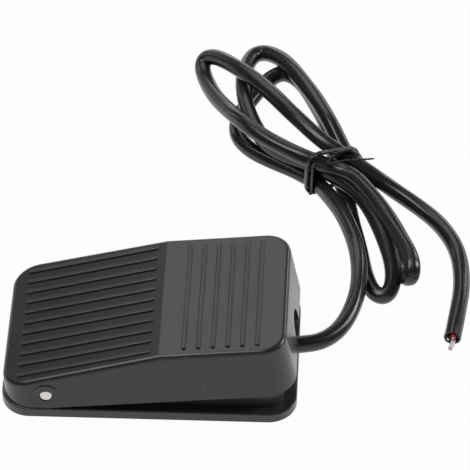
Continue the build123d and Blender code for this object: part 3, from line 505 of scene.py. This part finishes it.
class Finish(Enum):
    """Every finish of the object."""

    PEDAL = MouldedPlastic(
        "satin_pedal", (0.018, 0.018, 0.0185), (0.027, 0.027, 0.028), 0.32, dust=1.0)
    BASE = MouldedPlastic("satin_base", (0.036, 0.036, 0.037), (0.046, 0.046, 0.047), 0.30, dust=0.6)
    SWITCH_BODY = MouldedPlastic(
        "matt_switch_body", (0.020, 0.020, 0.021), (0.028, 0.028, 0.030), 0.42, grain=0.0002)
    SWITCH_COVER = MouldedPlastic(
        "matt_switch_cover", (0.034, 0.034, 0.036), (0.046, 0.046, 0.048), 0.46, grain=0.0002)
    PLUNGER = MouldedPlastic("red_plunger", (0.42, 0.030, 0.022), (0.50, 0.045, 0.032), 0.32)
    CLAMP = MouldedPlastic("matt_clamp", (0.026, 0.026, 0.027), (0.036, 0.036, 0.037), 0.48)
    PIN = TurnedSteel("pin_steel", (-34.9 * MM, 0.0, 10.4 * MM))
    SPRING_STEEL = BareMetal("spring_steel", (0.62, 0.61, 0.60), (0.46, 0.45, 0.44), 0.28)
    PLATED_STEEL = BareMetal("plated_steel", (0.72, 0.72, 0.70), (0.58, 0.58, 0.55), 0.30)
    TINNED_BRASS = BareMetal("tinned_brass", (0.74, 0.62, 0.38), (0.62, 0.50, 0.28), 0.32)
    TINNED_WIRE = BareMetal("tinned_wire", (0.66, 0.62, 0.58), (0.50, 0.46, 0.42), 0.34)
    JACKET = FlexibleJacket("soft_jacket")
    TIE = CrinkledFilm("tie_film")
    RUBBER = SoftRubber("pebbled_rubber")
    RED_CORE = Insulation("red_insulation", (0.56, 0.035, 0.060))
    WHITE_CORE = Insulation("white_insulation", (0.96, 0.88, 0.89))
    DARK_CORE = Insulation("dark_insulation", (0.030, 0.034, 0.032))

    def material(self) -> bpy.types.Material:
        """The finish's material, made at its first use."""
        return bpy.data.materials.get(self.value.name) or self.value.make()


def dress(piece: bpy.types.Object, finish: Finish) -> None:
    """Give a piece its finish.

    Args:
        piece: the object.
        finish: what it is made of.
    """
    piece.data.materials.clear()
    piece.data.materials.append(finish.material())


def mesh_from_rings(name: str, rings: np.ndarray, smooth_below: float = 40.0) -> bpy.types.Object:
    """Make a closed piece from rings of points, with a pole at each end.

    Point j of ring i is joined to its neighbours in the ring and in the next ring, and the
    first and last rings are closed by a fan to the mean of their points.

    Args:
        name: the piece's name.
        rings: array of rings, points and coordinates, in metres.
        smooth_below: degrees; sharper edges stay sharp.

    Returns:
        The new object, linked to the scene.
    """
    count, sides = rings.shape[:2]
    i, j = np.meshgrid(np.arange(count - 1), np.arange(sides), indexing="ij")
    k = (j + 1) % sides
    quads = np.stack([i * sides + j, i * sides + k, (i + 1) * sides + k, (i + 1) * sides + j], axis=-1)
    poles = np.array([rings[0].mean(axis=0), rings[-1].mean(axis=0)])
    points = np.concatenate([rings.reshape(-1, 3), poles])
    around = np.arange(sides)
    after = (around + 1) % sides
    first_pole, last_pole = count * sides, count * sides + 1
    last = (count - 1) * sides
    start = np.stack([after, around, np.full(sides, first_pole)], axis=-1)
    end = np.stack([last + around, last + after, np.full(sides, last_pole)], axis=-1)
    mesh = bpy.data.meshes.new(name)
    mesh.from_pydata(points.tolist(), [], quads.reshape(-1, 4).tolist() + start.tolist() + end.tolist())
    mesh.polygons.foreach_set("use_smooth", np.ones(len(mesh.polygons), dtype=bool))
    mesh.set_sharp_from_angle(angle=math.radians(smooth_below))
    mesh.validate()
    mesh.update()
    piece = bpy.data.objects.new(name, mesh)
    bpy.context.scene.collection.objects.link(piece)
    return piece


def path_frames(path: np.ndarray, reference: Point) -> tuple[np.ndarray, np.ndarray, np.ndarray]:
    """Axes along a path, each square to the others.

    The side axis is the tangent's cross product with the reference, and the rising axis is the
    side axis's cross product with the tangent.

    Args:
        path: points of the path.
        reference: direction that the rising axis stays close to.

    Returns:
        The tangents, the side axes and the rising axes.
    """
    tangent = np.gradient(path, axis=0)
    tangent /= np.linalg.norm(tangent, axis=1, keepdims=True)
    side = np.cross(tangent, np.array(reference, dtype=float))
    side /= np.linalg.norm(side, axis=1, keepdims=True)
    rise = np.cross(side, tangent)
    return tangent, side, rise


def carried_frames(path: np.ndarray, reference: Point) -> tuple[np.ndarray, np.ndarray, np.ndarray]:
    """Axes along a path that turn about it as little as they can.

    The first rising axis is the reference, made square to the path. Each next one is the one
    before, mirrored in the plane halfway to the next point and then in the plane halfway
    between the two tangents.

    Args:
        path: points of the path.
        reference: direction that the rising axis starts close to.

    Returns:
        The tangents, the side axes and the rising axes.
    """
    tangent, _, rise = path_frames(path, reference)
    for i, step in enumerate(np.diff(path, axis=0)):
        mirror = 2.0 * step / (step @ step)
        half = rise[i] - (step @ rise[i]) * mirror
        bend = tangent[i + 1] - (tangent[i] - (step @ tangent[i]) * mirror)
        rise[i + 1] = half - 2.0 * (bend @ half) / max(bend @ bend, 1e-18) * bend
    return tangent, np.cross(tangent, rise), rise


def sweep_rings(path: np.ndarray, half_width: np.ndarray, half_height: np.ndarray,
                sides: int, reference: Point, turn: np.ndarray | float = 0.0,
                frames: Callable = path_frames) -> np.ndarray:
    """Rings of an oval carried along a path.

    A ring's point at angle a is the path's point, plus half_width times cos a along the side
    axis, plus half_height times sin a along the rising axis, with both axes turned by turn.

    Args:
        path: points of the middle line, in metres.
        half_width: size of the oval along the side axis, for each ring or each ring and angle.
        half_height: the same along the rising axis.
        sides: points in a ring.
        reference: direction that the rising axis stays close to.
        turn: radians that each ring is turned by about the path.
        frames: function that gives the axes along the path.

    Returns:
        An array of rings, points and coordinates.
    """
    _, side, rise = frames(path, reference)
    turned = np.broadcast_to(np.asarray(turn, dtype=float), (len(path),))[:, None]
    across = np.cos(turned) * side + np.sin(turned) * rise
    upright = np.cos(turned) * rise - np.sin(turned) * side
    angle = np.linspace(0.0, 2.0 * math.pi, sides, endpoint=False)
    width = np.broadcast_to(np.asarray(half_width).reshape(len(path), -1), (len(path), sides))
    height = np.broadcast_to(np.asarray(half_height).reshape(len(path), -1), (len(path), sides))
    return (path[:, None, :]
            + (width * np.cos(angle))[:, :, None] * across[:, None, :]
            + (height * np.sin(angle))[:, :, None] * upright[:, None, :])


def smooth_line(points: Sequence[Point], steps: int) -> np.ndarray:
    """Points of a smooth open spline through the corridor of its control points.

    Args:
        points: control points in metres.
        steps: points of the line for each control point.

    Returns:
        The line's points, read from a NURBS spline of order 3 that reaches its end points.
    """
    curve = bpy.data.curves.new("route", "CURVE")
    curve.dimensions = "3D"
    spline = curve.splines.new("NURBS")
    spline.points.add(len(points) - 1)
    for control, (x, y, z) in zip(spline.points, points):
        control.co = (x, y, z, 1.0)
    spline.order_u = 3
    spline.use_endpoint_u = True
    spline.resolution_u = steps
    holder = bpy.data.objects.new("route", curve)
    bpy.context.scene.collection.objects.link(holder)
    bpy.context.view_layer.update()
    mesh = bpy.data.meshes.new_from_object(holder.evaluated_get(bpy.context.evaluated_depsgraph_get()))
    line = np.empty(len(mesh.vertices) * 3)
    mesh.vertices.foreach_get("co", line)
    bpy.data.meshes.remove(mesh)
    bpy.data.objects.remove(holder)
    bpy.data.curves.remove(curve)
    return line.reshape(-1, 3)


def distance_along(path: np.ndarray) -> np.ndarray:
    """Distance of each point of a path from its start."""
    steps = np.linalg.norm(np.diff(path, axis=0), axis=1)
    return np.concatenate([[0.0], np.cumsum(steps)])


@dataclass(frozen=True)
class Cord:
    """Three-core cord with a soft jacket, tied in loops, one end cut."""

    diameter: float = CORD_DIAMETER_MM * MM
    lay_length: float = 0.085
    ridge: float = 0.020
    line_count: int = 8
    line_height: float = 0.012
    line_swing: float = 0.9
    swing_length: float = 0.047
    wall: float = 0.8 * MM
    recess: float = 1.6 * MM
    sides: int = 72
    steps: int = 8

    def route(self) -> list[Point]:
        """All control points of the cord, in metres."""
        groups = (LEAD_MM, FAR_LOOP_LOW_MM, NEAR_LOOP_LOW_MM, FAR_LOOP_MIDDLE_MM,
                  NEAR_LOOP_HIGH_MM, FAR_LOOP_HIGH_MM, TAIL_MM)
        return [(x * MM, y * MM, z * MM) for group in groups for x, y, z in group]

    def relief(self, along: np.ndarray) -> np.ndarray:
        """Radius of the jacket at each ring and angle.

        It is half the diameter, less two cosines of the angle round the cord: one with three
        waves for the three cores, which turns with their twist, and one with line_count waves
        for the faint lines in the skin, which swings to and fro by line_swing radians.

        Args:
            along: distance of each ring from the cord's start.

        Returns:
            An array of rings and angles.
        """
        angle = np.linspace(0.0, 2.0 * math.pi, self.sides, endpoint=False)[None, :]
        twist = 2.0 * math.pi * along[:, None] / self.lay_length
        swing = self.line_swing * np.sin(2.0 * math.pi * along[:, None] / self.swing_length)
        cores = self.ridge * (np.cos(3.0 * (angle - twist)) - 1.0)
        lines = self.line_height * (np.cos(self.line_count * angle - twist + swing) - 1.0)
        return self.diameter / 2.0 * (1.0 + cores + lines)

    def build(self) -> tuple[bpy.types.Object, np.ndarray]:
        """Make the jacket as a tube with a hollow cut end.

        Returns:
            The piece and the points of its middle line.
        """
        line = smooth_line(self.route(), self.steps)
        along = distance_along(line)
        radius = self.relief(along)
        rings = sweep_rings(line, radius, radius, self.sides, (0.0, 0.0, 1.0), frames=carried_frames)
        end = line[-1]
        inward = (line[-2] - end) / np.linalg.norm(line[-2] - end)
        bore = (self.diameter / 2.0 - self.wall) / radius[-1].mean()
        mouth = end + (rings[-1] - end) * bore
        floor = mouth + inward * self.recess
        rings = np.concatenate([rings, mouth[None], floor[None]])
        piece = mesh_from_rings("cord", rings)
        dress(piece, Finish.JACKET)
        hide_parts("cord_lead", "cord_hank", "cord_tail")
        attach(piece, "base")
        return piece, line


@dataclass(frozen=True)
class CutCore:
    """One core: its place round the cord in degrees, how far it stands out, and its bend."""

    name: str
    angle: float
    reach: float
    bend: float
    finish: Finish


@dataclass(frozen=True)
class CutCores:
    """The three cores that stand out of the cord's cut end."""

    cores: tuple[CutCore, ...] = (
        CutCore("red", 110.0, 1.1 * MM, -0.05, Finish.RED_CORE),
        CutCore("white", 245.0, 4.6 * MM, 0.12, Finish.WHITE_CORE),
        CutCore("dark", 5.0, 0.9 * MM, 0.15, Finish.DARK_CORE),
    )
    radius: float = 0.85 * MM
    worn_end: float = 0.86
    circle: float = 1.15 * MM
    root: float = 1.4 * MM
    steps: int = 18
    sides: int = 20
    conductor: float = 0.45 * MM
    conductor_root: float = 0.3 * MM
    conductor_reach: float = 0.35 * MM
    conductor_end: float = 0.8
    scallop: float = 0.14
    conductor_steps: int = 6
    conductor_sides: int = 42

    def build(self, line: np.ndarray) -> list[bpy.types.Object]:
        """Make each core as a short bent tube with its conductor showing.

        A core drifts sideways by its bend times the square of the distance from the cut, over
        its reach.

        Args:
            line: middle line of the cord.

        Returns:
            The pieces.
        """
        tangent, side, rise = path_frames(line, (0.0, 0.0, 1.0))
        end, out, across, up = line[-1], tangent[-1], side[-1], rise[-1]
        pieces = []
        for core in self.cores:
            turn = math.radians(core.angle)
            offset = self.circle * (math.cos(turn) * across + math.sin(turn) * up)
            s = np.linspace(-self.root, core.reach, self.steps)
            drift = core.bend * np.clip(s, 0.0, None) ** 2 / core.reach
            path = end + offset + s[:, None] * out + drift[:, None] * across
            radius = np.full(self.steps, self.radius)
            radius[-1] *= self.worn_end
            rings = sweep_rings(path, radius, radius, self.sides, tuple(up))
            piece = mesh_from_rings("core_" + core.name, rings)
            dress(piece, core.finish)
            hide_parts("cut_core_" + core.name)
            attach(piece, "base")
            pieces.append(piece)
            pieces.append(self.strands(core.name, path[-1], out, up))
        return pieces

    def strands(self, name: str, tip: np.ndarray, out: np.ndarray, up: np.ndarray) -> bpy.types.Object:
        """Make the cut conductor, a stub whose rim is scalloped by its strands.

        Its radius is the conductor's, less a share that shrinks with the size of the cosine of
        three times the angle.

        Args:
            name: the core's name.
            tip: end of the core.
            out: direction that it points in.
            up: direction square to it.

        Returns:
            The piece.
        """
        s = np.linspace(-self.conductor_root, self.conductor_reach, self.conductor_steps)
        path = tip + s[:, None] * out
        angle = np.linspace(0.0, 2.0 * math.pi, self.conductor_sides, endpoint=False)
        radius = self.conductor * (1.0 - self.scallop + self.scallop * np.abs(np.cos(3.0 * angle)))
        radius = np.tile(radius, (len(s), 1))
        radius[-1] *= self.conductor_end
        rings = sweep_rings(path, radius, radius, len(angle), tuple(up))
        piece = mesh_from_rings("conductor_" + name, rings)
        dress(piece, Finish.TINNED_WIRE)
        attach(piece, "base")
        return piece


@dataclass(frozen=True)
class Wrap:
    """One run of film round the loops: where it starts, its turns, its lean and its lift."""

    start: float
    turns: float
    lean: float
    off: float


@dataclass(frozen=True)
class WireTie:
    """Film-covered wire wound round the loops, with its ends twisted and one left long."""

    centre: Point = (61.3 * MM, 91.2 * MM, 0.0)
    axis: Point = (-0.50, 0.866, 0.0)
    reach: float = 15.0 * MM
    strand_radius: float = CORD_DIAMETER_MM / 2 * MM
    half_width: float = 0.85 * MM
    half_thickness: float = 0.34 * MM
    turn_points: int = 240
    drift: float = 1.0 * MM
    lowest: float = 0.5 * MM
    sides: int = 16
    wraps: tuple[Wrap, ...] = (
        Wrap(2.2, 1.2, 1.2 * MM, 0.40 * MM),
        Wrap(2.5, 1.3, -1.5 * MM, 0.95 * MM),
        Wrap(3.3, 1.1, 0.2 * MM, 1.5 * MM),
    )
    twist_half_width: float = 0.95 * MM
    twist_half_thickness: float = 0.5 * MM
    twist_turn: float = 9.0 * math.pi
    end_radius: float = 0.36 * MM

    def strand_places(self, line: np.ndarray) -> np.ndarray:
        """Where the cord's middle line goes through the tie's plane.

        Args:
            line: middle line of the cord.

        Returns:
            For each strand its distance across from the tie's centre, and its height.
        """
        across, _, along = self.plane()
        offset = line - np.array(self.centre)
        depth = offset @ along
        crossing = (depth[:-1] * depth[1:] <= 0.0) & (np.abs(offset[:-1] @ across) < self.reach)
        return np.stack([(offset @ across)[:-1][crossing], line[:-1, 2][crossing]], axis=-1)

    def plane(self) -> tuple[np.ndarray, np.ndarray, np.ndarray]:
        """Axes of the tie: across the bundle, up, and along the bundle."""
        along = np.array(self.axis)
        up = np.array((0.0, 0.0, 1.0))
        return np.cross(along, up), up, along

    def hull(self, places: np.ndarray, angle: np.ndarray, off: float) -> np.ndarray:
        """Points round the bundle.

        The point for a direction is the middle of the strand that lies furthest that way,
        plus the strand's radius and off along the direction.

        Args:
            places: the strands' middles, as strand_places gives them.
            angle: the directions in radians.
            off: gap between the strands and the film's middle.

        Returns:
            The points in the tie's plane: distance across, and height.
        """
        direction = np.stack([np.cos(angle), np.sin(angle)], axis=-1)
        furthest = places[np.argmax(direction @ places.T, axis=1)]
        return furthest + direction * (self.strand_radius + off)

    def wrap_path(self, places: np.ndarray, wrap: Wrap) -> np.ndarray:
        """Middle line of a wrap.

        It follows the hull round the bundle. Along the bundle it moves by drift from its start
        to its end, and by its lean times the cosine of the angle.

        Args:
            places: the strands' middles, as strand_places gives them.
            wrap: the wrap.

        Returns:
            The line's points.
        """
        whole = 2.0 * math.pi * wrap.turns
        angle = wrap.start + np.linspace(0.0, whole, int(self.turn_points * wrap.turns))
        flat = self.hull(places, angle, wrap.off)
        across, up, along = self.plane()
        shift = self.drift * ((angle - wrap.start) / whole - 0.5) + wrap.lean * np.cos(angle)
        height = np.maximum(flat[:, 1], self.lowest)
        return (np.array(self.centre) + flat[:, :1] * across + height[:, None] * up
                + shift[:, None] * along)

    def crumple(self, count: int, seed: float) -> np.ndarray:
        """Uneven sizes along the film: one, plus three sines of unlike pitch.

        Args:
            count: how many sizes.
            seed: start of the sines in radians.

        Returns:
            The sizes.
        """
        s = np.linspace(0.0, 1.0, count)
        return (1.0 + 0.22 * np.sin(47.0 * s + seed) + 0.18 * np.sin(101.0 * s + 2.0 * seed)
                + 0.10 * np.sin(173.0 * s + 3.0 * seed))

    def build(self, line: np.ndarray) -> list[bpy.types.Object]:
        """Make the wraps, the twisted ends and the long end.

        Args:
            line: middle line of the cord.

        Returns:
            The pieces.
        """
        _, _, along = self.plane()
        places = self.strand_places(line)
        pieces = []
        for number, wrap in enumerate(self.wraps):
            path = self.wrap_path(places, wrap)
            width = self.half_thickness * self.crumple(len(path), 1.0 + number)
            height = self.half_width * self.crumple(len(path), 4.0 + number)
            rings = sweep_rings(path, width, height, self.sides, tuple(along))
            pieces.append(mesh_from_rings(f"tie_wrap_{number}", rings))
        pieces.append(self.twisted_ends())
        pieces.append(self.long_end())
        for piece in pieces:
            dress(piece, Finish.TIE)
            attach(piece, "base")
        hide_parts("cord_tie")
        return pieces

    def twisted_ends(self) -> bpy.types.Object:
        """Make the twisted pair as one oval wire turned about its own line."""
        path = smooth_line([(x * MM, y * MM, z * MM) for x, y, z in TIE_TWIST_MM], 24)
        s = np.linspace(0.0, 1.0, len(path))
        taper = np.sin(math.pi * np.clip(s, 0.03, 0.97)) ** 0.25
        rings = sweep_rings(path, self.twist_half_width * taper, self.twist_half_thickness * taper,
                            self.sides, (0.0, 0.0, 1.0), self.twist_turn * s)
        return mesh_from_rings("tie_twist", rings)

    def long_end(self) -> bpy.types.Object:
        """Make the end that was left long, standing out to the side."""
        path = smooth_line([(x * MM, y * MM, z * MM) for x, y, z in TIE_END_MM], 12)
        s = np.linspace(0.0, 1.0, len(path))
        size = self.end_radius * np.where(s > 0.96, 0.8, 1.0)
        return mesh_from_rings("tie_end", sweep_rings(path, size, size, self.sides, (0.0, 0.0, 1.0)))


@dataclass(frozen=True)
class Housing:
    """Pedal cover, base, pin and feet."""

    finishes: tuple[tuple[str, Finish], ...] = (
        ("pedal_cover", Finish.PEDAL), ("base_shell", Finish.BASE), ("pivot_pin", Finish.PIN),
        ("foot_front_left", Finish.RUBBER), ("foot_front_right", Finish.RUBBER),
        ("foot_rear_left", Finish.RUBBER), ("foot_rear_right", Finish.RUBBER),
        ("cord_clamp", Finish.CLAMP), ("clamp_screws", Finish.PLATED_STEEL),
        ("return_spring", Finish.SPRING_STEEL),
    )

    def build(self) -> None:
        """Dress the solids of the housing."""
        for node, finish in self.finishes:
            dress(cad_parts[node], finish)


@dataclass(frozen=True)
class SnapSwitch:
    """The snap-action switch, its contacts, connectors and wires."""

    finishes: tuple[tuple[str, Finish], ...] = (
        ("switch_case", Finish.SWITCH_BODY), ("switch_cover", Finish.SWITCH_COVER),
        ("switch_plunger", Finish.PLUNGER), ("switch_lever", Finish.SPRING_STEEL),
        ("lever_bracket", Finish.PLATED_STEEL), ("switch_screws", Finish.PLATED_STEEL),
        ("contact_blade", Finish.TINNED_BRASS), ("terminal_common", Finish.TINNED_BRASS),
        ("terminal_open", Finish.TINNED_BRASS), ("terminal_closed", Finish.TINNED_BRASS),
        ("connector_common", Finish.TINNED_BRASS), ("connector_open", Finish.TINNED_BRASS),
        ("connector_closed", Finish.TINNED_BRASS), ("wire_red", Finish.RED_CORE),
        ("wire_white", Finish.WHITE_CORE), ("wire_dark", Finish.DARK_CORE),
    )

    def build(self) -> None:
        """Dress the solids of the switch."""
        for node, finish in self.finishes:
            dress(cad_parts[node], finish)


@dataclass(frozen=True)
class PhotoCamera:
    """Camera that looks at the object as the photograph does."""

    yaw: float = math.radians(2.80)
    elevation: float = math.radians(43.47)
    roll: float = math.radians(-0.50)
    distance: float = 1.3711
    target: Point = (0.02596, 0.06245, 0.0006)
    lens: float = 290.4
    sensor: float = 36.0
    nearest: float = 0.01
    furthest: float = 20.0

    def build(self) -> None:
        """Place the camera and make it the scene's."""
        forward = Vector((-math.sin(self.yaw) * math.cos(self.elevation),
                          math.cos(self.yaw) * math.cos(self.elevation), -math.sin(self.elevation)))
        level = Vector((math.cos(self.yaw), math.sin(self.yaw), 0.0))
        upright = level.cross(forward)
        right = math.cos(self.roll) * level + math.sin(self.roll) * upright
        up = math.cos(self.roll) * upright - math.sin(self.roll) * level
        data = bpy.data.cameras.new("camera")
        data.lens = self.lens
        data.sensor_width = self.sensor
        data.clip_start = self.nearest
        data.clip_end = self.furthest
        camera = bpy.data.objects.new("camera", data)
        turn = Matrix((right, up, -forward)).transposed().to_4x4()
        camera.matrix_world = Matrix.Translation(Vector(self.target) - self.distance * forward) @ turn
        bpy.context.scene.collection.objects.link(camera)
        bpy.context.scene.camera = camera


@dataclass(frozen=True)
class SoftBox:
    """One rectangular light: its middle, its two sides in metres and its power in watts."""

    name: str
    place: Point
    size: tuple[float, float]
    power: float

    def build(self, aim: Point) -> None:
        """Make the light.

        Args:
            aim: point that it faces.
        """
        data = bpy.data.lights.new(self.name, "AREA")
        data.shape = "RECTANGLE"
        data.size, data.size_y = self.size
        data.energy = self.power
        light = bpy.data.objects.new(self.name, data)
        light.location = self.place
        facing = Vector(aim) - Vector(self.place)
        light.rotation_euler = facing.to_track_quat("-Z", "Y").to_euler()
        bpy.context.scene.collection.objects.link(light)


@dataclass(frozen=True)
class Studio:
    """Plain white floor, soft boxes and a dim world."""

    floor_half: float = 3.0
    floor_level: float = 0.80
    floor_glow: float = 0.97
    mirrored_glow: float = 1.0
    world_level: float = 0.06
    aim: Point = (0.02, 0.03, 0.01)
    boxes: tuple[SoftBox, ...] = (
        SoftBox("key_box", (-0.30, 0.05, 0.75), (0.50, 0.36), 3.0),
        SoftBox("back_box", (-0.20, 0.95, 0.95), (0.70, 0.45), 1.8),
        SoftBox("low_left_box", (-0.85, 0.80, 0.34), (0.22, 0.40), 0.5),
        SoftBox("low_right_box", (0.85, 0.95, 0.42), (0.22, 0.50), 1.3),
        SoftBox("horizon_box", (0.0, 1.45, 0.20), (1.70, 0.28), 3.6),
        SoftBox("front_box", (0.1, -1.3, 0.50), (1.20, 0.50), 1.6),
        SoftBox("side_box", (1.0, 0.30, 0.60), (0.40, 0.40), 5.0),
    )

    def build(self) -> None:
        """Make the floor, the lights and the world."""
        self.floor()
        self.world()
        for box in self.boxes:
            box.build(self.aim)
        bpy.context.scene.view_settings.view_transform = "Standard"

    def floor(self) -> None:
        """Make the floor: a matt white plane that glows evenly where it is seen or mirrored."""
        mesh = bpy.data.meshes.new("floor")
        h = self.floor_half
        mesh.from_pydata([(-h, -h, 0.0), (h, -h, 0.0), (h, h, 0.0), (-h, h, 0.0)], [], [(0, 1, 2, 3)])
        floor = bpy.data.objects.new("floor", mesh)
        bpy.context.scene.collection.objects.link(floor)
        graph = ShaderGraph("floor_paper")
        diffuse = graph.node("ShaderNodeBsdfDiffuse", None, {"Color": (self.floor_level,) * 3 + (1.0,)})
        glow = graph.node("ShaderNodeEmission", None, {"Strength": 1.0})
        path = graph.node("ShaderNodeLightPath")
        camera, glossy, through = (
            Signal(graph, path.outputs[name])
            for name in ("Is Camera Ray", "Is Glossy Ray", "Is Transmission Ray"))
        seen = camera * self.floor_glow + (glossy + through) * self.mirrored_glow
        mix = graph.node(
            "ShaderNodeMixShader", None,
            {0: seen, 1: Signal(graph, diffuse.outputs[0]), 2: Signal(graph, glow.outputs[0])})
        output = graph.node("ShaderNodeOutputMaterial")
        graph.tree.links.new(mix.outputs[0], output.inputs[0])
        mesh.materials.append(graph.material)
        floor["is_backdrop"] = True

    def world(self) -> None:
        """Make the world an even dark grey."""
        world = bpy.data.worlds.new("studio")
        world.use_nodes = True
        background = world.node_tree.nodes["Background"]
        background.inputs[0].default_value = (1.0, 1.0, 1.0, 1.0)
        background.inputs[1].default_value = self.world_level
        bpy.context.scene.world = world


def main() -> None:
    """Build every sub-assembly in order and report each."""
    logging.basicConfig(level=logging.INFO, format="%(message)s")
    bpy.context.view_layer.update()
    PhotoCamera().build()
    cord, line = Cord().build()
    cores = CutCores().build(line)
    tie = WireTie().build(line)
    Housing().build()
    SnapSwitch().build()
    Studio().build()
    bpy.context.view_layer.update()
    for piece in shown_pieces():
        LOG.info("piece: %s", piece.name)


if __name__ == "__main__":
    main()
